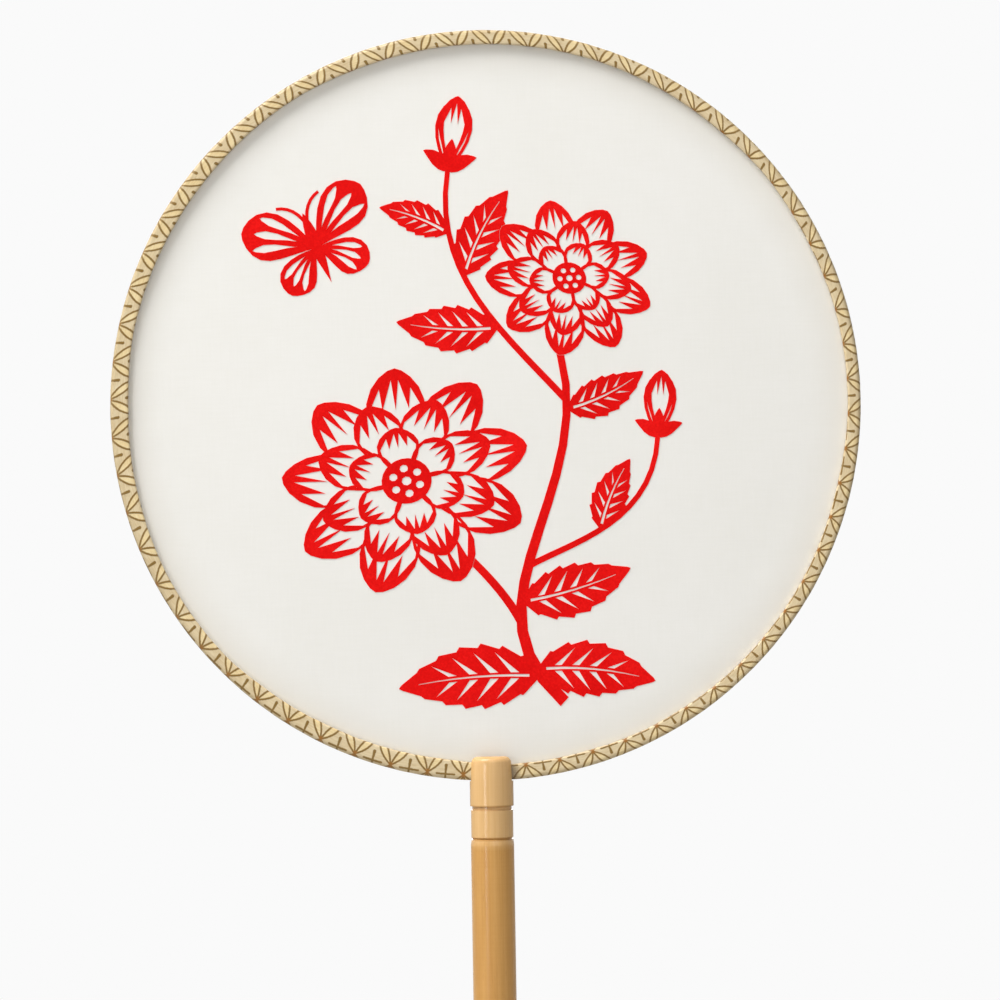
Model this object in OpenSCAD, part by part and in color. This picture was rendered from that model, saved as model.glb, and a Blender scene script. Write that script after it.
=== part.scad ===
// Round hand fan: a disc of sized silk held between two bent bamboo strips, edged with
// a folded ribbon, with a turned and slotted beech handle and a red paper cutting
// glued to the front of the silk.
//
// Frame: the fan stands upright in the X-Z plane. The front of the leaf faces -Y and
// the handle points down, along -Z. The origin is the middle of the grip.

/* [Leaf and hoops] */
// Outside diameter of the fan, over the ribbon
disc_d = 260; // [220:1:320]
// Width of each bamboo strip, measured across the hoop
strip_w = 3.7; // [3.6:0.1:7]
// Thickness of each bamboo strip, front to back
strip_t = 2.1; // [2:0.1:3.5]
// Rounding of each strip's two edges that lie away from the silk
strip_round = 0.9; // [0.4:0.1:1.2]
// Thickness of the sized silk
leaf_t = 0.3; // [0.2:0.05:0.6]
// How far the silk stops short of the strips' outside
leaf_inset = 0.5; // [0.2:0.1:1]
// Length round the hoop of the slanted joint that closes each strip
scarf_l = 38; // [25:1:60]
// Middle of each slanted joint, in degrees round from the handle
scarf_from_handle = 22; // [15:1:60]
// Square shoulder left at each end of a strip, beyond its rounding
scarf_shoulder = 0.2; // [0.1:0.05:0.4]
// Thickness of the glue in a slanted joint
scarf_glue_t = 0.1; // [0.05:0.05:0.2]

/* [Edging ribbon] */
// Thickness of the brocade ribbon
ribbon_t = 0.3; // [0.2:0.05:0.5]
// Glue between the ribbon and the strips
ribbon_glue_t = 0.05; // [0.05:0.05:0.15]
// Gap between the ribbon's two ends, hidden in the slot of the handle
ribbon_end_gap = 4.4; // [4:0.1:6]

/* [Handle] */
// Length of the handle, from its top edge to its end
handle_l = 138; // [110:1:170]
// Diameter of the plain grip
grip_d = 15; // [13:0.1:20]
// Diameter of the slotted head, at its foot
head_d = 15.1; // [13:0.1:20]
// How much the head narrows in diameter at its top
head_taper = 0.3; // [0:0.1:2]
// Height over which the head narrows
head_taper_h = 7; // [4:0.5:12]
// Diameter of the short band between the two grooves
band_d = 14.6; // [13:0.1:20]
// From the top of the head to the middle of the first groove
head_h = 17.9; // [15:0.1:26]
// From the middle of the first groove to the middle of the second
band_h = 10.6; // [6:0.1:16]
// Width of the first groove, which has a flat floor
flat_groove_w = 1.4; // [0.6:0.1:2.4]
// Width of the second groove, which is cut with a pointed tool
vee_groove_w = 0.9; // [0.6:0.1:2.4]
// Depth of the grooves
groove_depth = 0.5; // [0.3:0.1:1]
// Softened shoulder of the grip below the second groove, along the handle
shoulder_h = 1.8; // [0.5:0.1:4]
// Rounding of the edge at the top of the head
head_round = 2.2; // [0.5:0.1:3]
// Rounding of the lower end
end_round = 3; // [1:0.1:5]
// Height of the end groove above the lower end
end_groove_h = 13; // [11:0.5:20]
// How deep the edge of the fan sits in the slot
slot_depth = 8.4; // [6:0.1:11]
// Glue on each side of the edge, inside the slot
slot_glue_t = 0.1; // [0.05:0.05:0.2]
// Diameter of the hole for a hanging cord
cord_hole_d = 2.5; // [1.5:0.1:4]
// Height of the cord hole above the lower end
cord_hole_h = 7; // [5:0.5:10]

/* [Peg] */
// Diameter of the peg that ties the handle to the strips
peg_d = 2.4; // [1.8:0.1:3]
// How far the peg goes into the handle
peg_in_handle = 14; // [8:0.5:20]
// How far the peg goes into the strips
peg_in_strips = 3; // [2:0.1:3.4]
// Glue round the peg
peg_glue_t = 0.05; // [0.05:0.05:0.1]

/* [Paper cutting] */
// Thickness of the red paper
paper_t = 0.15; // [0.1:0.05:0.3]
// Clear silk between the tallest part of the cutting and the edging
cut_margin = 17.5; // [8:0.1:40]
// Width of the cut lines
line_w = 1.15; // [0.9:0.05:1.4]
// Petals in the outer ring of a full flower
outer_petals = 9; // [7:1:11]
// White teeth cut into the tip of a petal
petal_teeth = 4; // [3:1:6]
// Pairs of side veins in a leaf of the spray
vein_pairs = 4; // [3:1:6]

/* [Hidden] */
$fn = 96;
over = 1; // how far a cutting solid runs past what it cuts

// Rings of the leaf
ribbon_out = disc_d / 2;
ribbon_in_t = ribbon_t + ribbon_glue_t;
strip_out = ribbon_out - ribbon_in_t;
strip_mid = strip_out - strip_w / 2;
strip_in = strip_out - strip_w;
rim_in = strip_in - ribbon_in_t;
rim_w = ribbon_out - rim_in;
rim_t = leaf_t + 2 * strip_t + 2 * ribbon_in_t;
leaf_r = strip_out - leaf_inset;

// Heights along the handle, from the middle of the grip
grip_l = handle_l - head_h - band_h;
grip_top = grip_l / 2;
handle_end = -grip_l / 2;
flat_groove_z = grip_top + band_h;
handle_top = flat_groove_z + head_h;
slot_floor = handle_top - slot_depth - slot_glue_t;
disc_z = slot_floor + slot_glue_t + ribbon_out;
slot_w = rim_t + 2 * slot_glue_t;
head_top_d = head_d - head_taper;
band_high = flat_groove_z - flat_groove_w / 2;
head_low = flat_groove_z + flat_groove_w / 2;

// The cutting is drawn on a page about the leaf's centre, on which it reaches 109 from
// there, and is scaled to the leaf. Its lines keep their width.
cut_scale = (rim_in - cut_margin) / 109;
drawn_line_w = line_w / cut_scale;
// Hair of silk between the branch and each flower that is laid against it
paper_gap = 0.15;
drawn_gap = paper_gap / cut_scale;

// Petals of the cutting: where they are widest, how blunt they are and how they curl
petal_peak = 0.64;
petal_fullness = 0.62;
petal_bend = 12;

// Stems on the page. Each curve has four handles, from its foot to its tip.
main_stem = [[26, -104], [-16, -66], [48, -26], [22, 30]];
top_twig = [along(main_stem, 0.82), [6, 26], [-18, 46], [-12, 82]];
side_twig = [along(main_stem, 0.4), [30, -48], [58, -42], [60, -12]];
low_twig = [along(main_stem, 0.24), [4, -62], [-8, -52], [-20, -40]];
// Flowers on the page: middle across, middle up, width and turn in degrees
large_bloom = [-28, -26, 88, 12];
small_bloom = [30, 44, 60, -24];

// Hoops

// Places its children at the centre of the leaf, with their Z axis along -Y
module at_disc() {
    translate([0, 0, disc_z]) rotate([90, 0, 0]) children();
}

// Section of one strip beside the axis of the hoop, its flat back on the line y = 0
module strip_section() {
    translate([strip_in + strip_round, 0]) square([strip_w - 2 * strip_round, strip_t]);
    translate([strip_in, 0]) square([strip_w, strip_t - strip_round]);
    for (x = [strip_in + strip_round, strip_out - strip_round])
        translate([x, strip_t - strip_round]) circle(strip_round);
}

// Thin cut that parts a strip, so that its two ends lap over each other: a long slant
// between two square shoulders. The slant is an arc whose centre is moved sideways, so
// that it crosses the strip from near its inside to near its outside.
module scarf_cut() {
    half_angle = scarf_l / strip_mid * 90 / PI;
    rise = strip_w - 2 * (strip_round + scarf_shoulder);
    shift = rise / 2 / sin(half_angle);
    arc_r = norm([strip_mid, shift]);
    cut_h = strip_t + 2 * over;
    corner = 1.5 * scarf_glue_t; // how far a shoulder's cut runs past the middle of the slant
    function slant_r(a) = shift * sin(a) + sqrt(pow(arc_r, 2) - pow(shift * cos(a), 2));
    function slant_a(a) = atan2(slant_r(a) * sin(a) - shift, slant_r(a) * cos(a));
    translate([0, 0, -over]) {
        translate([0, shift]) rotate(slant_a(-half_angle))
            rotate_extrude(angle = slant_a(half_angle) - slant_a(-half_angle))
                translate([arc_r - scarf_glue_t / 2, 0]) square([scarf_glue_t, cut_h]);
        rotate(half_angle) translate([slant_r(half_angle) - corner, -scarf_glue_t / 2])
            cube([strip_w, scarf_glue_t, cut_h]);
        rotate(-half_angle) translate([slant_r(-half_angle) + corner - strip_w, -scarf_glue_t / 2])
            cube([strip_w, scarf_glue_t, cut_h]);
    }
}

// One bent strip, drawn flat with its glued face down; side is 1 or -1 for the side of
// the handle that its joint lies on
module strip(side) {
    difference() {
        rotate_extrude() strip_section();
        rotate(-90 + side * scarf_from_handle) scarf_cut();
    }
}

module front_hoop() {
    color("burlywood") difference() {
        at_disc() translate([0, 0, leaf_t / 2]) strip(-1);
        peg_hole();
    }
}

module back_hoop() {
    color("burlywood") difference() {
        at_disc() mirror([0, 0, 1]) translate([0, 0, leaf_t / 2]) strip(1);
        peg_hole();
    }
}

// Leaf

module fan_face() {
    color("ivory") difference() {
        at_disc() translate([0, 0, -leaf_t / 2]) cylinder(r = leaf_r, h = leaf_t);
        peg_hole();
    }
}

// Ribbon

// Rounded box round the section of both strips, grown by a given amount
module rim_outline(grow) {
    corner = strip_round + grow;
    half = leaf_t / 2 + strip_t + grow;
    low = strip_in - grow;
    high = strip_out + grow;
    translate([low + corner, -half]) square([high - low - 2 * corner, 2 * half]);
    translate([low, corner - half]) square([high - low, 2 * (half - corner)]);
    for (x = [low + corner, high - corner], y = [corner - half, half - corner])
        translate([x, y]) circle(corner);
}

// The ribbon covers the front, the outside and the back of the strips, and turns in
// over their inner edge to meet the silk on both sides
module edge_ribbon() {
    slit = leaf_t + 2 * ribbon_glue_t;
    color("tan") difference() {
        at_disc() rotate_extrude() difference() {
            rim_outline(ribbon_in_t);
            rim_outline(ribbon_glue_t);
            translate([rim_in - over, -slit / 2]) square([strip_w, slit]);
        }
        translate([-ribbon_end_gap / 2, -rim_t, disc_z - ribbon_out - over])
            cube([ribbon_end_gap, 2 * rim_t, rim_w + 2 * over]);
    }
}

// Handle

// Half of the handle's outline. The two rounded edges are circles that fill out a
// chamfer.
module handle_profile() {
    head_r = head_d / 2;
    head_top_r = head_top_d / 2;
    band_r = band_d / 2;
    grip_r = grip_d / 2;
    head_round_z = handle_top - head_round;
    end_round_z = handle_end + end_round;
    shoulder_z = grip_top - vee_groove_w / 2;
    end_groove_z = handle_end + end_groove_h;
    polygon([
        [0, handle_end],
        [grip_r - end_round, handle_end],
        [grip_r, end_round_z],
        [grip_r, end_groove_z - flat_groove_w / 2],
        [grip_r - groove_depth, end_groove_z - flat_groove_w / 2],
        [grip_r - groove_depth, end_groove_z + flat_groove_w / 2],
        [grip_r, end_groove_z + flat_groove_w / 2],
        [grip_r, shoulder_z - shoulder_h],
        [band_r, shoulder_z],
        [band_r - groove_depth, grip_top],
        [band_r, grip_top + vee_groove_w / 2],
        [band_r, band_high],
        [band_r - groove_depth, band_high],
        [band_r - groove_depth, head_low],
        [head_r, head_low],
        [head_r, handle_top - head_taper_h],
        [head_top_r, head_round_z],
        [head_top_r - head_round, handle_top],
        [0, handle_top]
    ]);
    translate([head_top_r - head_round, head_round_z]) circle(head_round);
    translate([grip_r - end_round, end_round_z]) circle(end_round);
}

// Hole for the peg, from inside the handle to inside the strips
module peg_hole() {
    translate([0, 0, slot_floor - peg_in_handle - peg_glue_t])
        cylinder(d = peg_d + 2 * peg_glue_t,
                 h = peg_in_handle + slot_glue_t + ribbon_in_t + peg_in_strips + 2 * peg_glue_t);
}

module handle() {
    color("sandybrown") difference() {
        rotate_extrude() handle_profile();
        translate([-head_d, -slot_w / 2, slot_floor])
            cube([2 * head_d, slot_w, slot_depth + slot_glue_t + over]);
        peg_hole();
        translate([0, 0, handle_end + cord_hole_h]) rotate([90, 0, 0])
            cylinder(d = cord_hole_d, h = grip_d + 2 * over, center = true);
    }
}

module handle_peg() {
    color("wheat") translate([0, 0, slot_floor - peg_in_handle])
        cylinder(d = peg_d, h = peg_in_handle + slot_glue_t + ribbon_in_t + peg_in_strips);
}

// Paper cutting
// The drawing lies in the plane, with x to the right and y up, about the leaf's centre.

// A point beside a curved spine that starts upwards: t runs from 0 to 1 along the
// spine, side is the distance to the right of it, and bend is its whole turn in degrees
function beside(length, bend, t, side) =
    bend == 0 ? [side, length * t] :
    let (turn = bend * t, r = length * 180 / PI / bend)
    [r * (1 - cos(turn)) + side * cos(turn), r * sin(turn) - side * sin(turn)];

// Half the width of a blade: 0 at both ends and 1 at the share peak of its length
function swell(t, peak, fullness) = pow(max(sin(180 * pow(t, ln(0.5) / ln(peak))), 0), fullness);

// Shares of a length that lie closer together towards both ends
function eased(steps) = [for (i = [0 : steps]) (1 - cos(180 * i / steps)) / 2];

// A closed shape along a curved spine, from points [t, side] on its right and the same
// on its left
module mirrored(length, bend, right) {
    last = len(right) - 1;
    polygon(concat([for (q = right) beside(length, bend, q[0], q[1])],
                   [for (i = [last : -1 : 0]) beside(length, bend, right[i][0], -right[i][1])]));
}

// A blade along a curved spine: a petal, a bud, a vein or a drop, by its numbers
module blade(length, width, bend = 0, peak = 0.5, fullness = 1, steps = 11) {
    mirrored(length, bend, [for (t = eased(steps)) [t, width / 2 * swell(t, peak, fullness)]]);
}

// Point and direction at the share t of a curve through four handles
function along(p, t) =
    pow(1 - t, 3) * p[0] + 3 * t * pow(1 - t, 2) * p[1] + 3 * t * t * (1 - t) * p[2]
    + t * t * t * p[3];
function heading(p, t) = along(p, min(t + 0.01, 1)) - along(p, max(t - 0.01, 0));

// Degrees that turn an upright blade to lie along a direction
function lean(d) = atan2(d[1], d[0]) - 90;

// A stem that tapers along its curve
module stem(p, foot_w, tip_w, steps = 14) {
    function across(t) = let (d = heading(p, t)) [d[1], -d[0]] / norm(d);
    function edge(t, sign) = along(p, t) + sign * across(t) * (foot_w + (tip_w - foot_w) * t) / 2;
    polygon(concat([for (i = [0 : steps]) edge(i / steps, 1)],
                   [for (i = [steps : -1 : 0]) edge(i / steps, -1)]));
}

// Places its children on a curve at the share t, turned a given angle to the left of it
module on_stem(p, t, spread) {
    translate(along(p, t)) rotate(lean(heading(p, t)) + spread) children();
}

// Copies its children round a centre
module round_the_clock(n, phase = 0) {
    for (i = [0 : n - 1]) rotate(phase + 360 / n * i) children();
}

// Opening in a petal, inside its outline, with teeth of red left at its top
module petal_window(length, width, bend, teeth) {
    shoulder = 0.64;
    function inside(t) = width / 2 * swell(t, petal_peak, petal_fullness) - drawn_line_w;
    function tooth_t(s) = 0.91 - 0.15 * s * s;
    side = [for (t = [0.2 : 0.11 : shoulder]) [t, inside(t)]];
    last = len(side) - 1;
    polygon(concat(
        [for (q = side) beside(length, bend, q[0], q[1])],
        [for (i = [1 : 2 * teeth - 1])
            let (s = 1 - i / teeth, t = i % 2 == 1 ? tooth_t(s) : shoulder)
                beside(length, bend, t, s * inside(t))],
        [for (i = [last : -1 : 0]) beside(length, bend, side[i][0], -side[i][1])]));
}

module petal_shadow(length, width, bend = 0) {
    blade(length, width, bend, petal_peak, petal_fullness);
}

module petal(length, width, bend = 0, teeth = petal_teeth) {
    difference() {
        petal_shadow(length, width, bend);
        petal_window(length, width, bend, teeth);
    }
}

// Width at which the petals of a ring just meet
function ring_width(length, n) = 2 * PI * petal_peak * length / n * 1.06;

module petal_ring(n, length, phase) {
    round_the_clock(n, phase) petal(length, ring_width(length, n), petal_bend);
}

module ring_shadow(n, length, phase) {
    round_the_clock(n, phase) petal_shadow(length, ring_width(length, n), petal_bend);
    circle(length * petal_peak, $fn = 24);
}

// A full flower seen from above: rings of petals that lie over each other
module flower(d) {
    outer = d / 2;
    middle = outer * 0.74;
    inner = outer * 0.48;
    heart = outer * 0.2;
    middle_n = outer_petals - 1;
    inner_n = outer_petals - 3;
    difference() {
        petal_ring(outer_petals, outer, 0);
        ring_shadow(middle_n, middle, 20);
    }
    difference() {
        petal_ring(middle_n, middle, 20);
        ring_shadow(inner_n, inner, 5);
    }
    difference() {
        petal_ring(inner_n, inner, 5);
        circle(heart, $fn = 24);
    }
    difference() {
        circle(heart, $fn = 24);
        round_the_clock(6) translate([0, heart * 0.56]) circle(heart * 0.17, $fn = 8);
        circle(heart * 0.2, $fn = 8);
    }
}

// A leaf of the spray: solid, with a toothed edge and cut-out veins
module spray_leaf(length, width, bend) {
    teeth = 7;
    function half(t) = width / 2 * swell(t, 0.42, 0.85);
    function notch(k) = let (t = k / teeth) [t, half(t) * 0.87];
    function point(k) = let (t = (k + 0.85) / teeth) [t, half(t)];
    side = [for (k = [0 : teeth - 1]) each [notch(k), point(k)]];
    rib = [for (t = [0.08 : 0.13 : 0.86]) [t, drawn_line_w * (0.46 - 0.4 * t)]];
    difference() {
        mirrored(length, bend, concat(side, [[1, 0]]));
        mirrored(length, bend, rib);
        for (k = [0 : vein_pairs - 1], sign = [-1, 1])
            let (t = 0.15 + 0.58 * k / vein_pairs, far = t + 0.17, start = sign * drawn_line_w * 0.85)
                polygon([beside(length, bend, t, start), beside(length, bend, t + 0.06, start),
                         beside(length, bend, far, sign * half(far) * 0.76)]);
    }
}

// A closed bud on its cup
module bud(length) {
    width = length * 0.46;
    difference() {
        for (sign = [-1, 1]) rotate(sign * 10) petal(length, width, sign * 26, 3);
        petal_shadow(length * 1.02, width * 0.8);
    }
    petal(length * 1.02, width * 0.8, 0, 3);
    for (spread = [-38, 0, 38]) rotate(spread) blade(length * 0.44, length * 0.2, -spread, 0.4, 0.8, 6);
}

// Places a flower on the page, tipped a little away from the eye
module on_page(bloom) {
    translate([bloom[0], bloom[1]]) rotate(bloom[3]) scale([1, 0.9]) children();
}

// The branch with its leaves and buds, before the flowers are laid against it
module branch_drawing() {
    stem(main_stem, 4.2, 2.4);
    stem(top_twig, 2.4, 1.7);
    stem(side_twig, 2.2, 1.7);
    stem(low_twig, 3, 2.4);
    on_stem(main_stem, 0.08, 52) spray_leaf(50, 23, -16);
    on_stem(main_stem, 0.1, -116) spray_leaf(42, 20, 22);
    on_stem(main_stem, 0.3, -76) spray_leaf(40, 19, -16);
    on_stem(main_stem, 0.8, -74) spray_leaf(30, 14, -24);
    on_stem(side_twig, 0.45, 46) spray_leaf(27, 13, 22);
    on_stem(top_twig, 0.36, 56) spray_leaf(36, 17, 18);
    on_stem(top_twig, 0.6, -42) spray_leaf(34, 16, 24);
    on_stem(top_twig, 0.78, 46) spray_leaf(26, 12, -24);
    on_stem(top_twig, 1, 0) bud(26);
    on_stem(side_twig, 1, 0) bud(23);
}

// The branch as it is cut, stopping short of each flower
module branch_beside_flowers() {
    difference() {
        branch_drawing();
        offset(delta = drawn_gap) for (bloom = [large_bloom, small_bloom])
            on_page(bloom) ring_shadow(outer_petals, bloom[2] / 2, 0);
    }
}

// A wing: an outline with drops cut out
module wing(length, width, bend) {
    difference() {
        blade(length, width, bend, 0.66, 0.6);
        for (spread = [-15, 0, 15]) rotate(spread) translate([0, length * 0.24])
            blade(length * 0.6, width * 0.17, bend, 0.7, 0.8, 6);
    }
}

// A butterfly seen from above, its head up
module butterfly_drawing() {
    for (sign = [-1, 1]) {
        rotate(-sign * 50) wing(27, 17, sign * 14);
        rotate(-sign * 118) wing(19, 13, sign * 24);
        stem([[0, 8], [sign * 1, 14], [sign * 4, 17], [sign * 8, 18]], 1.2, 1, 6);
    }
    translate([0, -13]) blade(26, 4.4, 0, 0.6, 0.8);
}

// Cuts a drawing out of the paper and glues it to the front of the leaf. A hair of
// growth joins shapes that only touch on the page.
module cut_paper() {
    at_disc() translate([0, 0, leaf_t / 2]) linear_extrude(paper_t)
        scale(cut_scale) offset(delta = 0.02) children();
}

module papercut_branch() {
    color("red") cut_paper() branch_beside_flowers();
}

module papercut_large_flower() {
    color("red") cut_paper() on_page(large_bloom) flower(large_bloom[2]);
}

module papercut_small_flower() {
    color("red") cut_paper() on_page(small_bloom) flower(small_bloom[2]);
}

module papercut_butterfly() {
    color("red") cut_paper() translate([-58, 56]) rotate(22) butterfly_drawing();
}

front_hoop();
back_hoop();
fan_face();
edge_ribbon();
handle();
handle_peg();
papercut_branch();
papercut_large_flower();
papercut_small_flower();
papercut_butterfly();
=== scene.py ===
"""Looks of the round hand fan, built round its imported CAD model.

Blender's own values are in metres. The named sizes are in millimetres, as in the part's
source, and MM turns them to metres. The fan stands upright in the X-Z plane with its front
to -Y and its handle along -Z, and the origin is the middle of the grip.
"""
import math

import bmesh
import bpy
from mathutils import Matrix, Vector, noise


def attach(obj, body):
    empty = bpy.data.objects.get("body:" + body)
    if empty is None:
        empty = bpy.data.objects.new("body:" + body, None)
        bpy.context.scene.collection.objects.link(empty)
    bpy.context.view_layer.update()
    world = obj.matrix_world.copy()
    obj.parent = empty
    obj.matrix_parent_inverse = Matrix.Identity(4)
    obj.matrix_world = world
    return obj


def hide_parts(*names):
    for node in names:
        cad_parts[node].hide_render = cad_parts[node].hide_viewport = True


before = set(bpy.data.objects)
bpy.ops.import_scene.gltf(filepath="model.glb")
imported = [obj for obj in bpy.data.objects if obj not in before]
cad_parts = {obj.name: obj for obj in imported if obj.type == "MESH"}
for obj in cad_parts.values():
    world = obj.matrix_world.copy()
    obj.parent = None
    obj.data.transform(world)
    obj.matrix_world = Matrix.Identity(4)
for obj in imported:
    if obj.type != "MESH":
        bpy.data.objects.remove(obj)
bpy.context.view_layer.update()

MM = 0.001

# Sizes that the pieces share with the part's source
DISC_Z = 204.85
STRIP_IN = 125.95
STRIP_OUT = 129.65
STRIP_T = 2.1
STRIP_ROUND = 0.9
LEAF_R = 129.15
LEAF_T = 0.3
RIBBON_T = 0.3
RIBBON_GLUE = 0.05
RIBBON_END_GAP = 4.4
FLAT_GROOVE_Z = 65.35
VEE_GROOVE_Z = 54.75
END_GROOVE_Z = -41.75
HANDLE_END = -54.75

PLAIN_WHITE = "#FAFAFA"  # the ground behind the fan


def millimetres(*values):
    """A vector in metres from millimetres."""
    return Vector(values) * MM


def cells(*sizes):
    """The scale of a pattern whose cells have one size, or one each along X, Y and Z."""
    scales = [1 / (size * MM) for size in sizes]
    return scales if len(scales) > 1 else scales[0]


def hex_colour(text):
    """Linear RGBA from an sRGB hex value."""
    def linear(c):
        return c / 12.92 if c <= 0.04045 else ((c + 0.055) / 1.055) ** 2.4
    parts = [int(text[i:i + 2], 16) / 255 for i in (1, 3, 5)]
    return tuple(linear(c) for c in parts) + (1.0,)


def smooth_step(low, high, value):
    """0 below low, 1 above high, and eased between them."""
    t = min(max((value - low) / (high - low), 0.0), 1.0)
    return t * t * (3 - 2 * t)


def read_off(table, degrees):
    """The value of a table at an angle, eased between its rows."""
    for (a, low), (b, high) in zip(table, table[1:]):
        if a <= degrees <= b:
            return low + (high - low) * smooth_step(a, b, degrees)
    return table[-1][1]


def add(tree, kind, inputs=None, stops=None, **settings):
    """Adds a node. Each input is a value, or the node or socket that feeds it. The stops
    of a Color Ramp are positions and hex colours."""
    new = tree.nodes.new("ShaderNode" + kind)
    for name, value in settings.items():
        setattr(new, name, value)
    for name, value in (inputs or {}).items():
        if isinstance(value, bpy.types.Node):
            value = value.outputs[0]
        if isinstance(value, bpy.types.NodeSocket):
            tree.links.new(value, new.inputs[name])
        else:
            new.inputs[name].default_value = value
    if stops:
        elements = new.color_ramp.elements
        while len(elements) < len(stops):
            elements.new(0.5)
        for element, (position, colour) in zip(elements, stops):
            element.position = position
            element.color = hex_colour(colour)
    return new


def new_material(name, **constants):
    """A material with its shader, whose constant settings sit on the shader's sockets."""
    material = bpy.data.materials.new(name)
    material.use_nodes = True
    tree = material.node_tree
    shader = tree.nodes["Principled BSDF"]
    for socket, value in constants.items():
        shader.inputs[socket.replace("_", " ")].default_value = value
    return material, tree, shader


def finish_surface(tree, shader, colour, relief, share, depth):
    """Gives a shader its colour, and as its bump a share of a relief that is so deep in
    millimetres."""
    tree.links.new(colour.outputs[0], shader.inputs["Base Color"])
    bump = add(tree, "Bump", {"Height": relief, "Strength": share, "Distance": depth * MM})
    tree.links.new(bump.outputs[0], shader.inputs["Normal"])


def new_piece(name, bm, material):
    """A smoothly shaded object from a bmesh."""
    mesh = bpy.data.meshes.new(name)
    bm.to_mesh(mesh)
    bm.free()
    piece = bpy.data.objects.new(name, mesh)
    bpy.context.scene.collection.objects.link(piece)
    mesh.materials.append(material)
    for face in mesh.polygons:
        face.use_smooth = True
    return piece


def thicken_cloth(piece, thickness):
    """Gives a sheet its thickness, half to each side."""
    wall = piece.modifiers.new("cloth", "SOLIDIFY")
    wall.thickness = thickness * MM
    wall.offset = 0


def dress(material, *nodes):
    """Gives CAD nodes a material."""
    for name in nodes:
        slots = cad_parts[name].material_slots
        if not len(slots):
            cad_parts[name].data.materials.append(material)
        for material_slot in slots:
            material_slot.material = material


# Camera

PHOTO_SIDE = 1000  # pixels
MM_PER_PIXEL = 0.3467
DISC_PIXEL = (485.5, 405.3)
ROLL = math.radians(0.92)
FOCAL_LENGTH = 190.0
SENSOR_WIDTH = 36.0


def square_on_camera():
    """A long lens, square on to the leaf and a little rolled, as in the photograph."""
    lens = bpy.data.cameras.new("camera")
    lens.lens = FOCAL_LENGTH
    lens.sensor_width = SENSOR_WIDTH
    lens.clip_start = 0.01
    lens.clip_end = 50
    camera = bpy.data.objects.new("camera", lens)
    bpy.context.scene.collection.objects.link(camera)
    right = Vector((math.cos(ROLL), 0, -math.sin(ROLL)))
    up = Vector((math.sin(ROLL), 0, math.cos(ROLL)))
    across = (PHOTO_SIDE / 2 - DISC_PIXEL[0]) * MM_PER_PIXEL
    down = (PHOTO_SIDE / 2 - DISC_PIXEL[1]) * MM_PER_PIXEL
    aim = millimetres(0, 0, DISC_Z) + (right * across - up * down) * MM
    distance = PHOTO_SIDE * MM_PER_PIXEL * FOCAL_LENGTH / SENSOR_WIDTH
    axes = Matrix((right, up, Vector((0, -1, 0)))).transposed().to_4x4()
    camera.matrix_world = Matrix.Translation(aim - millimetres(0, distance, 0)) @ axes
    bpy.context.scene.camera = camera


# Silk leaf

SILK_THREADS = 0.8  # real silk's lie about 0.15 apart, and are drawn wider apart to show
SLUB_L = 11  # length and width of the thicker places in a thread
SLUB_W = 0.7
SIZE_PATCH = 50  # how far apart the cloth took up more or less size
PAINTED_LEAF_SHADE_FROM = 110  # painted shade darkens the leaf from here outwards, towards the rim
PAINTED_LEAF_SHADE_TO = 126

RING_RADII = [0, 30, 60, 90, 104, 108.5, 110.5, 112.5, 114.5, 116.5, 118.5, 120.5, 122.5, 124,
              125.4, LEAF_R]
RIPPLES_START = (108.2, 116)  # the ripples rise between these radii
RIPPLES_END = (120, 125)  # and go flat between these
RIPPLE_H = 0.12
RIPPLE_CIRCLE = 9  # radius of the circle walked through the noise, in its cells


def sized_silk():
    """Silk in plain weave, stiffened with glue size, so it is smooth, off-white and a little
    shiny."""
    silk, tree, shader = new_material(
        "sized_silk", Roughness=0.5, IOR=1.5, Specular_IOR_Level=0.3,
        Sheen_Weight=0.08, Sheen_Roughness=0.4)
    place = add(tree, "TexCoord").outputs["Object"]
    turns = add(tree, "VectorMath", {0: place, "Scale": 2 * math.pi * cells(SILK_THREADS)},
                operation="SCALE")
    threads = add(tree, "SeparateXYZ", {0: turns})
    warp = add(tree, "Math", {0: threads.outputs["X"]}, operation="SINE")
    weft = add(tree, "Math", {0: threads.outputs["Z"]}, operation="SINE")
    weave = add(tree, "Math", {0: warp, 1: weft}, operation="MULTIPLY")
    slubs = []
    for sizes in ((SLUB_L, 1000, SLUB_W), (SLUB_W, 1000, SLUB_L)):
        stretched = add(tree, "Mapping", {"Vector": place, "Scale": cells(*sizes)})
        slubs.append(add(tree, "TexNoise", {"Vector": stretched, "Scale": 1.0, "Detail": 2.0}))
    slub = add(tree, "Math", {0: slubs[0], 1: slubs[1]}, operation="ADD")
    cloud = add(tree, "TexNoise", {"Vector": place, "Scale": cells(SIZE_PATCH), "Detail": 3.0})
    tone = add(tree, "Math", {0: slub, 1: 0.25, 2: 0.22}, operation="MULTIPLY_ADD")
    tone = add(tree, "Math", {0: cloud, 1: 0.5, 2: tone}, operation="MULTIPLY_ADD")
    cloth = add(tree, "ValToRGB", {0: tone},
                stops=[(0.5, "#ECEAE3"), (0.72, "#EFEDE7"), (0.95, "#F2F0EB")])
    # Painted shade darkens the silk a little towards the rim, which stands proud of it
    off_middle = add(tree, "VectorMath", {0: place, 1: millimetres(0, 0, DISC_Z)},
                     operation="DISTANCE").outputs["Value"]
    painted_leaf_shade = add(tree, "MapRange", {"Value": off_middle, "From Min": PAINTED_LEAF_SHADE_FROM * MM,
                                    "From Max": PAINTED_LEAF_SHADE_TO * MM, "To Max": 0.5},
                 interpolation_type="SMOOTHSTEP")
    cloth = add(tree, "MixRGB", {"Fac": painted_leaf_shade, "Color1": cloth, "Color2": hex_colour("#E2DDD2")})
    relief = add(tree, "Math", {0: weave, 1: 0.5, 2: slub}, operation="MULTIPLY_ADD")
    finish_surface(tree, shader, cloth, relief, 0.12, 0.05)
    return silk


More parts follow.
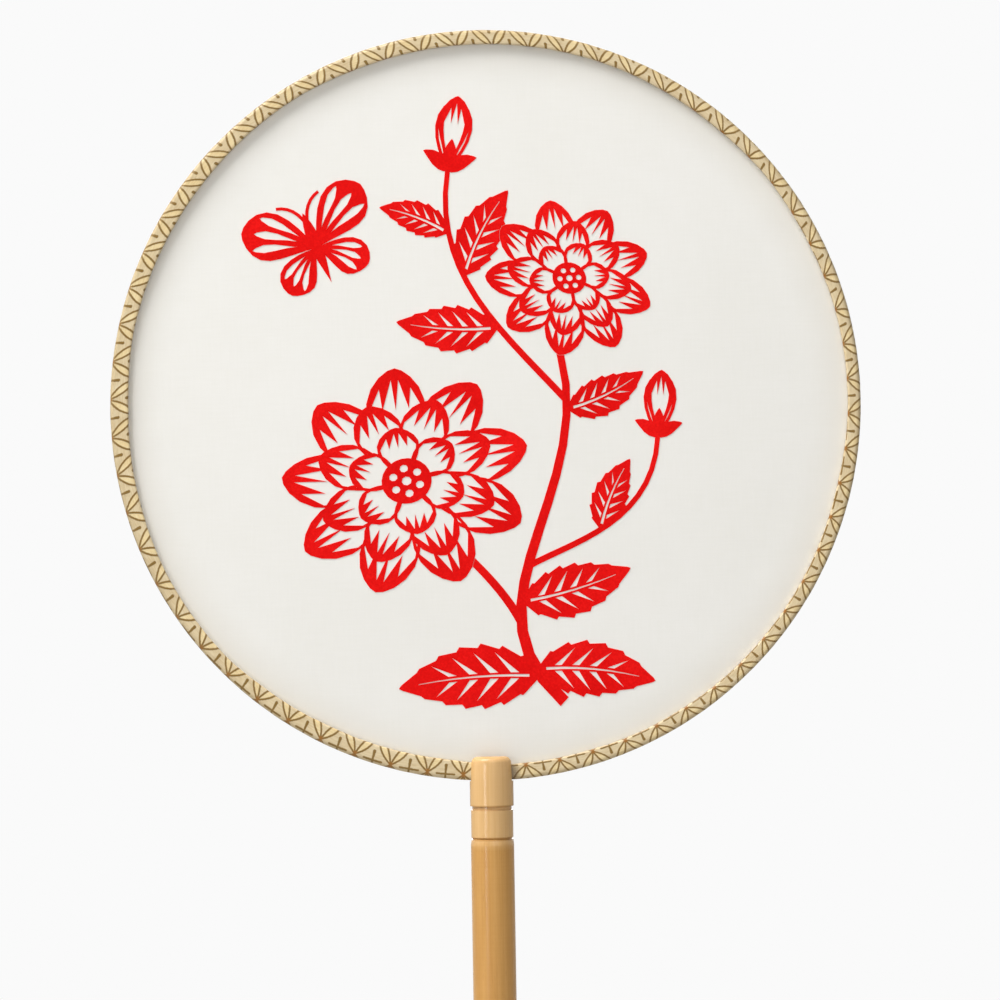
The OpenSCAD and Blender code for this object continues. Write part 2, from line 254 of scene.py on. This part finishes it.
def silk_leaf():
    """A disc in rings, gripped at the hoop and pulled into slight ripples just inside it."""
    bm = bmesh.new()
    line = [bm.verts.new(millimetres(r, 0, 0)) for r in RING_RADII]
    spokes = [bm.edges.new(pair) for pair in zip(line, line[1:])]
    bmesh.ops.spin(bm, geom=line + spokes, cent=(0, 0, 0), axis=(0, 1, 0), dvec=(0, 0, 0),
                   angle=2 * math.pi, steps=360, use_merge=True, use_duplicate=False)
    bmesh.ops.remove_doubles(bm, verts=bm.verts, dist=0.001 * MM)
    for v in bm.verts:
        r = v.co.length / MM
        turn = math.atan2(v.co.z, v.co.x)
        share = smooth_step(*RIPPLES_START, r) * (1 - smooth_step(*RIPPLES_END, r))
        wave = Vector((math.cos(turn) * RIPPLE_CIRCLE, math.sin(turn) * RIPPLE_CIRCLE, 3.7))
        v.co.y += RIPPLE_H * MM * share * noise.noise(wave)
    bmesh.ops.translate(bm, verts=bm.verts, vec=millimetres(0, 0, DISC_Z))
    bmesh.ops.recalc_face_normals(bm, faces=bm.faces)
    leaf = new_piece("silk_leaf", bm, sized_silk())
    thicken_cloth(leaf, LEAF_T)
    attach(leaf, "root")
    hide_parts("fan_face")


# Brocade ribbon

PITCH = 13.0  # from one crossing of the lattice to the next along a row
ROW = 9.3  # from one row of crossings to the next
BOW = 1.22  # how far the two lines of a side bow apart, each way
LINE_W = 0.68  # width of a drawn line
ARM = 3.3  # length of the arms of the crosses
CLUB_FROM = 0.4  # where the arms across the ribbon start to thicken
CLUB_GROWTH = 0.08
KNOT_R = 1.5  # how far round a crossing the thread starts to have the knots' colour
KNOT_FULL_R = 0.6
LINE_BLUR = 0.32  # over which a line's edge goes from ground to thread
FLOAT_L = 3.3  # the ground's satin floats, which are drawn coarser than real ones to show
FLOAT_W = 0.45
YARN_WANDER = 0.67  # how far apart the unevenness of the yarn lies
DYE_PATCH = 6.25  # how far apart the ground is of another tone
PAINTED_RIM_SHADE_FROM = 127.6  # painted shade darkens the outside of the rim from here outwards
PAINTED_RIM_SHADE_TO = 129.8
PAINTED_GAP_SHADOW_AT = (6.5, 0, DISC_Z - 127.6)
PAINTED_GAP_SHADOW_R = (5.6, 3.8)  # how far from there the painted shadow starts, and where it is full

FOLD_ROUND = 0.5  # radius of the inner fold's middle line
FOLD_STEPS = 4
FLAT_SHARES = (0.85, 0.5, 0.15, 0.0)  # of the loose fold's shift, from the fold outwards
CORNER_STEPS = 5
OUTSIDE_Y = 0.6  # of the two points on the rim's outside
RIBBON_HALF = LEAF_T / 2 + STRIP_T + RIBBON_GLUE + RIBBON_T / 2
RIM_RISE = 0.12  # how far the ribbon's outside stands proud of its inner fold

# By degrees round from the handle, clockwise as seen from the front: how far the loose fold
# stands in beyond the tight one, how far the pattern leans for each millimetre across, how
# much it is squeezed, where its first row of crossings lies, and by how many crossings it
# runs ahead
FOLD_STANDS_IN = [(0, 1.6), (8, 2.2), (26, 2.0), (36, 1.45), (48, 0.55), (62, 0.65), (78, 1.4),
                  (91, 1.85), (104, 1.1), (123, 1.2), (150, 0.6), (160, 0.9), (180, 0.5),
                  (200, 0.25), (221, 0.6), (232, 0.2), (243, 0.4), (258, 0), (270, 0.05),
                  (284, 0.6), (302, 0.2), (316, 0.1), (334, 0.4), (346, 0.85), (360, 1.0)]
LEAN = [(0, 0), (45, 0.12), (110, 0.17), (165, 0.25), (200, 0.36), (250, 0.34), (275, 0),
        (360, 0.05)]
LEANS_ABOUT = 1.3  # the place across the ribbon that a lean doesn't move
SQUEEZE = [(0, 1.0), (100, 1.0), (200, 0.8), (360, 0.78)]
FIRST_ROW = [(0, 0.8), (10, 0.25), (17, -0.1), (36, -0.2), (60, -1.2), (95, -1.7), (140, -2.65),
             (165, -2.65), (200, -3.15), (250, -3.95), (330, -4.15), (360, -3.7)]
RUNS_AHEAD = [(0, -0.08), (12, 0), (42, 0.075), (80, 0), (360, 0)]

# Crossings passed at an angle in radians: a constant, and the shares of the angle, its square
# and its cube. The ribbon was pulled unevenly, so the crossings lie closer towards its end.
CROSSINGS = (-0.685, 9.757, 0.0016, 0.00744)

BACK_TURNED = 120  # the back's loose fold is the front's, turned this far and shallower
BACK_SHARE = 0.6
SLOT_HOLDS = (3.6, 5.5)  # degrees: the slot holds the ribbon still up to here, then less
PUCKER_CIRCLE = 32  # small puckers along the fold, by the radius of their circle in the noise
CREASE_CIRCLE = 80  # finer creases among them
PUCKER_IN = 0.1  # how far they move the loose fold
CREASE_IN = 0.05
PUCKER_OUT = 0.05  # how far they swell the outside, front and back of the rim
CREASE_OUT = 0.03
DEEPEST_DENT = 0.04
FLAT_SIDE_Y = 2  # beyond this a point is on the front or back of the rim


def lattice(tree, uv):
    """Distances in the brocade's lattice, in millimetres: to the nearest line or cross, how
    far inside a lens between two bowed lines, and to the nearest crossing."""
    spread = add(tree, "VectorMath", {0: uv, "Scale": 1 / MM}, operation="SCALE")
    split = add(tree, "SeparateXYZ", {0: spread})
    # Folded into a quarter of a diamond: one crossing is at (0, 0), the next at the far corner
    fold_x = add(tree, "Math", {0: split.outputs["X"], 1: PITCH / 2}, operation="PINGPONG")
    fold_y = add(tree, "Math", {0: split.outputs["Y"], 1: ROW}, operation="PINGPONG")
    quarter = add(tree, "CombineXYZ", {0: fold_x, 1: fold_y})
    corner = Vector((PITCH / 2, ROW, 0))
    side = corner.normalized()
    share = add(tree, "VectorMath", {0: quarter, 1: side / corner.length},
                operation="DOT_PRODUCT").outputs["Value"]
    apart = add(tree, "VectorMath", {0: quarter, 1: Vector((side.y, -side.x, 0))},
                operation="DOT_PRODUCT").outputs["Value"]
    apart = add(tree, "Math", {0: apart}, operation="ABSOLUTE")
    half_turn = add(tree, "Math", {0: share, 1: math.pi}, operation="MULTIPLY")
    arch = add(tree, "Math", {0: half_turn}, operation="SINE")
    bowed = add(tree, "Math", {0: arch, 1: BOW}, operation="MULTIPLY")
    inside = add(tree, "Math", {0: bowed, 1: apart}, operation="SUBTRACT")
    nearest = add(tree, "Math", {0: inside}, operation="ABSOLUTE")
    # The crosses in the middle of the diamonds, whose arms across the ribbon end in clubs
    far_x = add(tree, "Math", {0: PITCH / 2, 1: fold_x}, operation="SUBTRACT")
    far_y = add(tree, "Math", {0: ROW, 1: fold_y}, operation="SUBTRACT")
    for mid_x, mid_y in ((far_x, fold_y), (fold_x, far_y)):
        for along, off, growth in ((mid_x, mid_y, 0.0), (mid_y, mid_x, CLUB_GROWTH)):
            past = add(tree, "Math", {0: along, 1: ARM}, operation="SUBTRACT")
            past = add(tree, "Math", {0: past, 1: 0.0}, operation="MAXIMUM")
            club = add(tree, "Math", {0: along, 1: CLUB_FROM}, operation="SUBTRACT")
            club = add(tree, "Math", {0: club, 1: 0.0}, operation="MAXIMUM")
            beside = add(tree, "Math", {0: club, 1: -growth, 2: off}, operation="MULTIPLY_ADD")
            beside = add(tree, "Math", {0: beside, 1: 0.0}, operation="MAXIMUM")
            mark = add(tree, "Math", {0: beside, 1: past}, operation="ADD")
            nearest = add(tree, "Math", {0: nearest, 1: mark}, operation="MINIMUM")
    near = add(tree, "VectorMath", {0: quarter}, operation="LENGTH").outputs["Value"]
    far = add(tree, "VectorMath", {0: quarter, 1: corner}, operation="DISTANCE").outputs["Value"]
    crossing = add(tree, "Math", {0: near, 1: far}, operation="MINIMUM")
    return nearest, inside, crossing


def paint_rim_shadows(tree, colour, wander):
    """The brocade's colour with painted shade on the outside of the rim and a painted shadow by the
    handle.
    """
    place = add(tree, "TexCoord").outputs["Object"]
    # Painted shade darkens the outside of the rim a little
    level = add(tree, "VectorMath", {0: place, 1: (1, 0, 1)}, operation="MULTIPLY")
    off_middle = add(tree, "VectorMath", {0: level, 1: millimetres(0, 0, DISC_Z)},
                     operation="DISTANCE").outputs["Value"]
    painted_rim_shade = add(tree, "MapRange", {"Value": off_middle, "From Min": PAINTED_RIM_SHADE_FROM * MM,
                                    "From Max": PAINTED_RIM_SHADE_TO * MM, "To Max": 0.3},
                 interpolation_type="SMOOTHSTEP")
    colour = add(tree, "MixRGB", {"Fac": painted_rim_shade, "Color1": colour, "Color2": hex_colour("#937A4C")})
    # A painted shadow with a ragged edge lies where the ribbon's last end goes into the handle
    to_end = add(tree, "VectorMath", {0: place, 1: millimetres(*PAINTED_GAP_SHADOW_AT)},
                 operation="DISTANCE").outputs["Value"]
    ragged = add(tree, "Math", {0: wander, 1: 1.5 * MM, 2: to_end}, operation="MULTIPLY_ADD")
    painted_gap_shadow = add(tree, "MapRange", {"Value": ragged, "From Min": PAINTED_GAP_SHADOW_R[0] * MM,
                                    "From Max": PAINTED_GAP_SHADOW_R[1] * MM, "To Max": 0.75})
    return add(tree, "MixRGB", {"Fac": painted_gap_shadow, "Color1": colour, "Color2": hex_colour("#5C452A")})


def silk_brocade():
    """A satin ground with a lattice of bronze threads floated over it, so the lines stand up
    a little and the ground is soft and shiny. Its UV map is in metres: along the ribbon, and
    across it from a row of crossings."""
    brocade, tree, shader = new_material(
        "silk_brocade", Roughness=0.4, IOR=1.5, Specular_IOR_Level=0.5,
        Sheen_Weight=0.15, Sheen_Roughness=0.4)
    uv = add(tree, "UVMap", uv_map="ribbon").outputs[0]
    nearest, inside, crossing = lattice(tree, uv)
    # Yarn is uneven, so the edges of the lines wander by a tenth of a millimetre or so
    wander = add(tree, "TexNoise", {"Vector": uv, "Scale": cells(YARN_WANDER), "Detail": 2.0})
    edge = add(tree, "Math", {0: wander, 1: 0.3, 2: nearest}, operation="MULTIPLY_ADD")
    drawn = add(tree, "MapRange", {"Value": edge, "From Min": LINE_W / 2 - 0.01 + LINE_BLUR,
                                   "From Max": LINE_W / 2 - 0.01}, interpolation_type="SMOOTHSTEP")
    knotted = add(tree, "MapRange", {"Value": crossing, "From Min": KNOT_R,
                                     "From Max": KNOT_FULL_R}, interpolation_type="SMOOTHSTEP")
    yarn = add(tree, "MixRGB", {"Fac": knotted, "Color1": hex_colour("#80601F"),
                                "Color2": hex_colour("#96600F")})
    stretched = add(tree, "Mapping", {"Vector": uv, "Scale": cells(FLOAT_L, FLOAT_W, 1000)})
    floats = add(tree, "TexNoise", {"Vector": stretched, "Scale": 1.0, "Detail": 3.0})
    patches = add(tree, "TexNoise", {"Vector": uv, "Scale": cells(DYE_PATCH), "Detail": 2.0})
    patches = add(tree, "Math", {0: patches, 1: 0.45}, operation="MULTIPLY")
    tone = add(tree, "Math", {0: floats, 1: 0.55, 2: patches}, operation="MULTIPLY_ADD")
    ground = add(tree, "ValToRGB", {0: tone},
                 stops=[(0.3, "#CBB286"), (0.5, "#DAC59C"), (0.7, "#E5D4B0")])
    lens_fill = add(tree, "ValToRGB", {0: tone},
                    stops=[(0.3, "#DBBE86"), (0.5, "#E8D09C"), (0.7, "#F0DDAE")])
    in_lens = add(tree, "MapRange", {"Value": inside, "From Min": 0.0, "From Max": 0.5})
    cloth = add(tree, "MixRGB", {"Fac": in_lens, "Color1": ground, "Color2": lens_fill})
    colour = add(tree, "MixRGB", {"Fac": drawn, "Color1": cloth, "Color2": yarn})
    ribbed = add(tree, "Math", {0: floats, 1: 0.5}, operation="MULTIPLY")
    relief = add(tree, "Math", {0: drawn, 1: 0.5, 2: ribbed}, operation="MULTIPLY_ADD")
    finish_surface(tree, shader, paint_rim_shadows(tree, colour, wander), relief, 0.6, 0.12)
    return brocade


def rim_section():
    """The folded ribbon's middle line, from its front edge by the silk over the hoops to its
    back edge: radius, y, distance along it, and the share of the loose fold's shift that the
    place takes. The distance is counted from where the front corner starts at the outside."""
    grow = RIBBON_GLUE + RIBBON_T / 2
    corner = STRIP_ROUND + grow
    low = STRIP_IN - grow
    high = STRIP_OUT + grow
    cut_edge = LEAF_T / 2 + RIBBON_GLUE
    front = [(low, -y, 1.0) for y in (cut_edge, 1.0, RIBBON_HALF - FOLD_ROUND)]
    for k in range(1, FOLD_STEPS + 1):
        a = math.radians(180 + 90 * k / FOLD_STEPS)
        front.append((low + FOLD_ROUND * (1 + math.cos(a)),
                      FOLD_ROUND * (1 + math.sin(a)) - RIBBON_HALF, 1.0))
    flat_start = low + FOLD_ROUND
    flat_end = high - corner
    flat_step = (flat_end - flat_start) / len(FLAT_SHARES)
    for k, weight in enumerate(FLAT_SHARES, start=1):
        front.append((flat_start + flat_step * k, -RIBBON_HALF, weight))
    flat_last = len(front) - 1
    for k in range(1, CORNER_STEPS + 1):
        a = math.radians(270 + 90 * k / CORNER_STEPS)
        front.append((flat_end + corner * math.cos(a),
                      corner * (1 + math.sin(a)) - RIBBON_HALF, 0.0))
    back = [(r, -y, weight) for r, y, weight in reversed(front)]
    path = front + [(high, -OUTSIDE_Y, 0.0), (high, OUTSIDE_Y, 0.0)] + back
    lengths = [0.0]
    for (r1, y1, _), (r2, y2, _) in zip(path, path[1:]):
        lengths.append(lengths[-1] + math.hypot(r2 - r1, y2 - y1))
    start = lengths[flat_last]
    return [(r, y, start - s, weight) for (r, y, weight), s in zip(path, lengths)]


def fold_shift(degrees, y):
    """How far in the loose fold stands, on the front or the back."""
    if y < 0:
        return read_off(FOLD_STANDS_IN, degrees)
    return BACK_SHARE * read_off(FOLD_STANDS_IN, (degrees + BACK_TURNED) % 360)


def woven_place(turn, s):
    """The place in the brocade's pattern of a point on the ribbon, in metres: along it and
    across it."""
    degrees = math.degrees(turn)
    passed = sum(share * turn ** power for power, share in enumerate(CROSSINGS))
    along = (passed + read_off(RUNS_AHEAD, degrees)) * PITCH
    along -= read_off(LEAN, degrees) * (s - LEANS_ABOUT)
    across = (s - read_off(FIRST_ROW, degrees)) / read_off(SQUEEZE, degrees)
    return along * MM, across * MM


def settle(v, turn, weight, shift):
    """Moves a point of the tight ribbon to where the loose and puckered one has it."""
    degrees = math.degrees(turn)
    r = math.hypot(v.co.x, v.co.z) / MM
    y = v.co.y / MM
    loose = smooth_step(*SLOT_HOLDS, min(degrees, 360 - degrees))
    round_x, round_z = math.cos(turn), math.sin(turn)
    pucker = noise.noise(Vector((round_x * PUCKER_CIRCLE, round_z * PUCKER_CIRCLE, 0.3 * y)))
    crease = noise.noise(Vector((round_x * CREASE_CIRCLE, round_z * CREASE_CIRCLE, 0.5 * y + 5)))
    swell = loose * max(PUCKER_OUT * pucker + CREASE_OUT * crease, -DEEPEST_DENT)
    new_r = r - shift - loose * weight * (PUCKER_IN * pucker + CREASE_IN * crease)
    if r > STRIP_OUT:
        new_r += swell
    v.co.x *= new_r / r
    v.co.z *= new_r / r
    if abs(y) > FLAT_SIDE_Y:
        v.co.y += math.copysign(1, y) * swell * MM
    v.co.y *= 1 + loose * (1 - weight) * RIM_RISE / RIBBON_HALF


def folded_ribbon():
    """The rim's section spun round the hoops, from one side of the slot's gap to the other,
    and loosened."""
    section = rim_section()
    bm = bmesh.new()
    across_layer = bm.verts.layers.float.new("across")
    weight_layer = bm.verts.layers.float.new("weight")
    gap_angle = RIBBON_END_GAP / 2 / STRIP_OUT
    line = []
    for r, y, s, weight in section:
        v = bm.verts.new(millimetres(-r * math.sin(gap_angle), y, -r * math.cos(gap_angle)))
        v[across_layer] = s
        v[weight_layer] = weight
        line.append(v)
    edges = [bm.edges.new(pair) for pair in zip(line, line[1:])]
    bmesh.ops.spin(bm, geom=line + edges, cent=(0, 0, 0), axis=(0, 1, 0), dvec=(0, 0, 0),
                   angle=2 * math.pi - 2 * gap_angle, steps=900, use_merge=False,
                   use_duplicate=False)
    uv_layer = bm.loops.layers.uv.new("ribbon")
    for v in bm.verts:
        turn = math.atan2(-v.co.x, -v.co.z) % (2 * math.pi)
        weight = v[weight_layer]
        shift = weight * fold_shift(math.degrees(turn), v.co.y)
        s = v[across_layer] - math.copysign(1, v.co.y) * shift
        for loop in v.link_loops:
            loop[uv_layer].uv = woven_place(turn, s)
        settle(v, turn, weight, shift)
    bmesh.ops.translate(bm, verts=bm.verts, vec=millimetres(0, 0, DISC_Z))
    bmesh.ops.recalc_face_normals(bm, faces=bm.faces)
    ribbon = new_piece("folded_ribbon", bm, silk_brocade())
    thicken_cloth(ribbon, RIBBON_T)
    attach(ribbon, "root")
    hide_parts("edge_ribbon")


# Handle

FIBRES = (0.42, 0.42, 22)  # the grain's fibres, drawn coarser than the real ones to show
STREAKS = (3, 3, 125)  # streaks of the growth rings, seen from the side
TURNING_MARKS = (40, 40, 0.67)  # drawn wider than the lathe's real ones to show
FLECKS = (0.385, 0.385, 3.3)  # rays of the beech, cut across
GRIP_TONE_FROM = VEE_GROOVE_Z + 0.5  # the head is paler than the grip, which starts here
GRIP_TONE_TO = VEE_GROOVE_Z - 4
# Middle and half the width of each groove's line of painted shade. The flat one is shaded along its
# upper corner.
PAINTED_GROOVE_SHADE = ((FLAT_GROOVE_Z + 0.65, 0.35), (VEE_GROOVE_Z, 0.6), (END_GROOVE_Z, 0.9))
PAINTED_GROOVE_SHADE_BLUR = 0.25


def turned_beech():
    """Beech, turned on a lathe, sanded and given a thin satin varnish: straight streaks of
    grain along the handle, faint turning marks round it, and a soft highlight."""
    beech, tree, shader = new_material(
        "turned_beech", Roughness=0.45, IOR=1.5, Specular_IOR_Level=0.15,
        Coat_Weight=0.6, Coat_Roughness=0.18, Coat_IOR=1.5)
    place = add(tree, "TexCoord").outputs["Object"]
    z = add(tree, "SeparateXYZ", {0: place}).outputs["Z"]
    grain = []
    for sizes, detail, distortion in ((FIBRES, 3.0, 0.0), (STREAKS, 2.0, 0.3),
                                      (TURNING_MARKS, 1.0, 0.0), (FLECKS, 1.0, 0.0)):
        stretched = add(tree, "Mapping", {"Vector": place, "Scale": cells(*sizes)})
        grain.append(add(tree, "TexNoise", {"Vector": stretched, "Scale": 1.0, "Detail": detail,
                                            "Distortion": distortion}))
    fibres, streaks, turning, flecks = grain
    tone = add(tree, "Math", {0: fibres, 1: 0.3, 2: 0.07}, operation="MULTIPLY_ADD")
    tone = add(tree, "Math", {0: streaks, 1: 0.5, 2: tone}, operation="MULTIPLY_ADD")
    tone = add(tree, "Math", {0: turning, 1: 0.06, 2: tone}, operation="MULTIPLY_ADD")
    head_wood = add(tree, "ValToRGB", {0: tone},
                    stops=[(0.35, "#D8AA6C"), (0.5, "#DEB276"), (0.65, "#E4BA81")])
    grip_wood = add(tree, "ValToRGB", {0: tone},
                    stops=[(0.35, "#C38C47"), (0.5, "#CC9750"), (0.65, "#D5A25C")])
    lower = add(tree, "MapRange", {"Value": z, "From Min": GRIP_TONE_FROM * MM,
                                   "From Max": GRIP_TONE_TO * MM})
    wood = add(tree, "MixRGB", {"Fac": lower, "Color1": head_wood, "Color2": grip_wood})
    flecked = add(tree, "MapRange", {"Value": flecks, "From Min": 0.66, "From Max": 0.78,
                                     "To Max": 0.22})
    flecked = add(tree, "Math", {0: flecked, 1: lower}, operation="MULTIPLY")
    wood = add(tree, "MixRGB", {"Fac": flecked, "Color1": wood, "Color2": hex_colour("#A26E36")})
    # Painted shade darkens the grooves
    painted_groove_shade = 0.0
    for middle, half in PAINTED_GROOVE_SHADE:
        off = add(tree, "Math", {0: z, 1: middle * MM}, operation="SUBTRACT")
        off = add(tree, "Math", {0: off}, operation="ABSOLUTE")
        band = add(tree, "MapRange", {"Value": off, "From Min": (half + PAINTED_GROOVE_SHADE_BLUR) * MM,
                                      "From Max": (half - PAINTED_GROOVE_SHADE_BLUR) * MM})
        painted_groove_shade = add(tree, "Math", {0: painted_groove_shade, 1: band}, operation="MAXIMUM")
    painted_groove_shade = add(tree, "Math", {0: painted_groove_shade, 1: 0.6}, operation="MULTIPLY")
    wood = add(tree, "MixRGB", {"Fac": painted_groove_shade, "Color1": wood, "Color2": hex_colour("#A8742F")})
    finish_surface(tree, shader, wood, fibres, 0.12, 0.05)
    return beech


# Hoops and peg

BAMBOO_FIBRE_W = 0.3
BAMBOO_FIBRE_L = 27


def split_bamboo():
    """Bamboo, split, planed and bent: pale, with fine straight fibres along each strip."""
    bamboo, tree, shader = new_material(
        "split_bamboo", Roughness=0.5, IOR=1.5, Specular_IOR_Level=0.4)
    place = add(tree, "TexCoord").outputs["Object"]
    centred = add(tree, "Mapping", {"Vector": place, "Location": millimetres(0, 0, -DISC_Z)})
    centred = add(tree, "SeparateXYZ", {0: centred})
    level = add(tree, "CombineXYZ", {0: centred.outputs["X"], 1: centred.outputs["Z"]})
    radius = add(tree, "VectorMath", {0: level}, operation="LENGTH").outputs["Value"]
    turn = add(tree, "Math", {0: centred.outputs["Z"], 1: centred.outputs["X"]},
               operation="ARCTAN2")
    squeezed_round = STRIP_OUT * MM * BAMBOO_FIBRE_W / BAMBOO_FIBRE_L
    along = add(tree, "Math", {0: turn, 1: squeezed_round}, operation="MULTIPLY")
    in_strip = add(tree, "CombineXYZ", {0: radius, 1: centred.outputs["Y"], 2: along})
    fibres = add(tree, "TexNoise", {"Vector": in_strip, "Scale": cells(BAMBOO_FIBRE_W),
                                    "Detail": 2.0})
    colour = add(tree, "ValToRGB", {0: fibres},
                 stops=[(0.3, "#C9A765"), (0.5, "#DCC088"), (0.7, "#E8D2A0")])
    finish_surface(tree, shader, colour, fibres, 0.3, 0.05)
    return bamboo


# Paper cutting

PAPER_FIBRE = 0.7
PAPER_CLOUD = 22


def dyed_paper():
    """Thin uncoated paper for cutting, dyed through, so it is matt, with a slight fibre."""
    paper, tree, shader = new_material(
        "dyed_paper", Roughness=0.75, IOR=1.5, Specular_IOR_Level=0.08)
    place = add(tree, "TexCoord").outputs["Object"]
    fibre = add(tree, "TexNoise", {"Vector": place, "Scale": cells(PAPER_FIBRE), "Detail": 4.0})
    cloud = add(tree, "TexNoise", {"Vector": place, "Scale": cells(PAPER_CLOUD), "Detail": 2.0})
    tone = add(tree, "Math", {0: cloud, 1: 0.5}, operation="MULTIPLY")
    tone = add(tree, "Math", {0: fibre, 1: 0.5, 2: tone}, operation="MULTIPLY_ADD")
    colour = add(tree, "ValToRGB", {0: tone},
                 stops=[(0.35, "#DC0706"), (0.5, "#E80C0A"), (0.65, "#F51714")])
    finish_surface(tree, shader, colour, fibre, 0.3, 0.02)
    return paper


# Floor, lamps and room

FLOOR_R = 4000
FLOOR_BELOW = 0.05  # under the end of the handle
FADE_FROM = 300  # how far from the fan the floor turns to the plain ground
FADE_TO = 550

LAMP_DISTANCE = 1800
LAMPS_ABOUT = DISC_Z - 40
# Name, direction from the fan, side in metres, and watts: one broad soft lamp high on the
# left, weaker ones round it and one for the back
LAMPS = (("window", (-0.50, -0.32, 0.80), 1.0, 33.8),
         ("skylight", (-0.15, -0.30, 0.93), 1.2, 10.0),
         ("left_wall", (-0.92, -0.30, 0.10), 1.2, 1.9),
         ("front_wall", (0.25, -0.92, 0.30), 1.0, 4.8),
         ("small_window", (-0.57, -0.80, -0.10), 0.35, 4.4),
         ("back_window", (0.0, 0.95, 0.30), 1.0, 19.5))
ROOM_LIGHT = 0.17  # the room's strength, where the camera doesn't see it


def painted_floor():
    """A matt grey floor that takes the shadow of the fan, and fades to the plain ground away
    from it."""
    paint, tree, shader = new_material(
        "floor_paint", Roughness=0.9, Specular_IOR_Level=0.1, Base_Color=hex_colour("#B9B9B8"))
    bm = bmesh.new()
    bmesh.ops.create_circle(bm, cap_ends=True, segments=96, radius=FLOOR_R * MM)
    bmesh.ops.translate(bm, verts=bm.verts, vec=millimetres(0, 0, HANDLE_END - FLOOR_BELOW))
    floor = new_piece("floor", bm, paint)
    place = add(tree, "TexCoord").outputs["Object"]
    away = add(tree, "VectorMath", {0: place}, operation="LENGTH").outputs["Value"]
    fade = add(tree, "MapRange", {"Value": away, "From Min": FADE_FROM * MM,
                                  "From Max": FADE_TO * MM}, interpolation_type="SMOOTHSTEP")
    seen = add(tree, "LightPath").outputs["Is Camera Ray"]
    fade = add(tree, "Math", {0: fade, 1: seen}, operation="MULTIPLY")
    white = add(tree, "Emission", {"Color": hex_colour(PLAIN_WHITE), "Strength": 1.0})
    mixed = add(tree, "MixShader", {0: fade, 1: shader, 2: white})
    tree.links.new(mixed.outputs[0], tree.nodes["Material Output"].inputs["Surface"])


def soft_lamps():
    """Square lamps that face the fan."""
    middle = millimetres(0, 0, LAMPS_ABOUT)
    for name, direction, side, watts in LAMPS:
        light = bpy.data.lights.new(name, "AREA")
        light.shape = "SQUARE"
        light.size = side
        light.energy = watts
        lamp = bpy.data.objects.new(name, light)
        bpy.context.scene.collection.objects.link(lamp)
        toward = Vector(direction).normalized()
        lamp.location = middle + toward * LAMP_DISTANCE * MM
        lamp.rotation_euler = (-toward).to_track_quat("-Z", "Y").to_euler()


def pale_room():
    """A world that is plain white where it is seen or mirrored, and lights the fan weakly."""
    world = bpy.data.worlds.new("room")
    bpy.context.scene.world = world
    world.use_nodes = True
    tree = world.node_tree
    rays = add(tree, "LightPath")
    plain = add(tree, "Math", {0: rays.outputs["Is Camera Ray"],
                               1: rays.outputs["Is Glossy Ray"]}, operation="MAXIMUM")
    plain = add(tree, "Math", {0: plain, 1: rays.outputs["Is Transmission Ray"]},
                operation="MAXIMUM")
    strength = add(tree, "MapRange", {"Value": plain, "To Min": ROOM_LIGHT, "To Max": 1.0})
    background = tree.nodes["Background"]
    background.inputs["Color"].default_value = hex_colour(PLAIN_WHITE)
    tree.links.new(strength.outputs[0], background.inputs["Strength"])


square_on_camera()
silk_leaf()
folded_ribbon()
dress(turned_beech(), "handle")
dress(split_bamboo(), "front_hoop", "back_hoop", "handle_peg")
dress(dyed_paper(), "papercut_branch", "papercut_large_flower", "papercut_small_flower",
      "papercut_butterfly")
painted_floor()
soft_lamps()
pale_room()
bpy.context.scene.view_settings.view_transform = "Standard"
